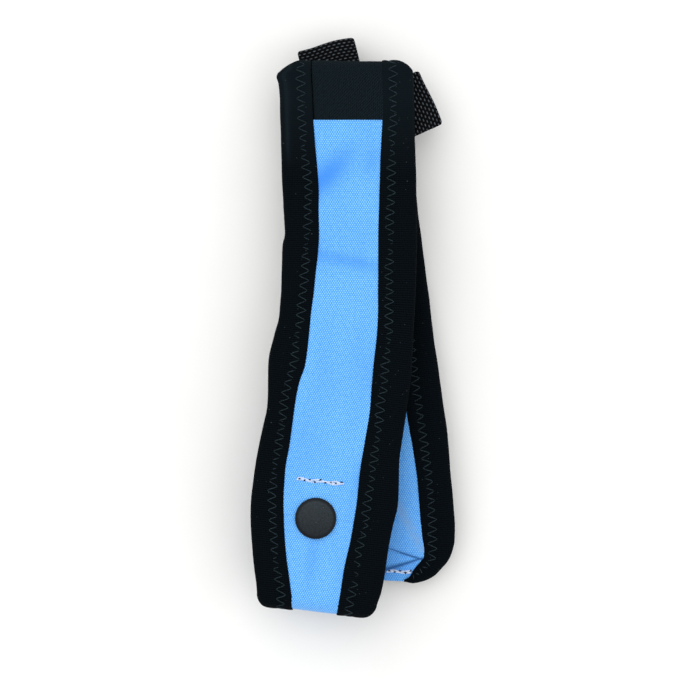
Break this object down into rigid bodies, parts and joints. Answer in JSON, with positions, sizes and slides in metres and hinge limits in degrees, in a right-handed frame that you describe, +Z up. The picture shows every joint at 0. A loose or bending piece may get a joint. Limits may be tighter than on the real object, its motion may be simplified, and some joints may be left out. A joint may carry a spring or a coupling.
{
  "type": "gait belt",
  "caption": "Padded patient transfer belt folded in three, with a blue webbing face, soft black edges, a press stud, a bundled adjusting strap and a toothed buckle behind.",
  "frame": {"origin": "middle of the underside of the folded belt's box, on the surface it lies on", "axes": "+Y along the folded legs toward the end with the bundled strap, +Z up away from the surface, +X to the right when the belt is seen from above with +Y away from the viewer"},
  "size_m": [0.0757, 0.2124, 0.0261],
  "materials": {
    "black_binding": "matte",
    "black_padding": "matte",
    "blue_webbing": "matte",
    "black_patch": "matte",
    "black_webbing": "satin",
    "dark_thread": "satin",
    "white_thread": "satin",
    "black_snap": "matte",
    "plated_steel": "satin",
    "spring_steel": "satin"
  },
  "bodies": {
    "rear_leg": {"rear_padding": "black_padding", "rear_blue_webbing": "blue_webbing", "rear_binding_left": "black_binding", "rear_binding_right": "black_binding", "rear_bartack": "white_thread", "buckle_tab": "black_webbing", "top_fold": "black_binding"},
    "middle_leg": {"middle_padding": "black_padding", "middle_blue_webbing": "blue_webbing", "middle_binding_left": "black_binding", "middle_binding_right": "black_binding", "snap_stud": "black_snap", "snap_stud_backing": "black_snap", "bottom_fold": "black_binding"},
    "front_leg": {"front_padding": "black_padding", "front_blue_webbing": "blue_webbing", "front_binding_left": "black_binding", "front_binding_right": "black_binding", "front_centre_patch": "black_patch", "front_end_hem": "black_binding", "strap_bundle_left": "black_webbing", "strap_bundle_right": "black_webbing", "strap_box_stitch": "dark_thread", "front_bartack": "white_thread", "snap_cap": "black_snap", "snap_socket": "black_snap"},
    "buckle": {"buckle_frame": "plated_steel", "jaw_pin": "plated_steel"},
    "jaw": {"toothed_jaw": "plated_steel", "jaw_spring": "spring_steel"}
  },
  "joints": [
    {"name": "middle_leg_unfold", "type": "hinge", "parent": "rear_leg", "child": "middle_leg", "pos_m": [-0.00095, 0.091, 0.0044], "axis": [-1, 0, 0], "range_deg": [0, 75], "deforming": ["top_fold"]},
    {"name": "front_leg_unfold", "type": "hinge", "parent": "middle_leg", "child": "front_leg", "pos_m": [-0.01289, -0.0989, 0.0192], "axis": [0.994, -0.1097, 0], "range_deg": [0, 150], "deforming": ["bottom_fold"]},
    {"name": "buckle_swing", "type": "hinge", "parent": "rear_leg", "child": "buckle", "pos_m": [0.01108, -0.058, 0.00629], "axis": [-0.9938, -0.1115, 0], "range_deg": [0, 90]},
    {"name": "jaw_flip", "type": "hinge", "parent": "buckle", "child": "jaw", "pos_m": [0.00952, -0.04409, 0.00314], "axis": [-0.9938, -0.1115, 0], "range_deg": [0, 100], "stiffness_Nm_per_rad": 0.002, "springref_deg": -17.19}
  ]
}
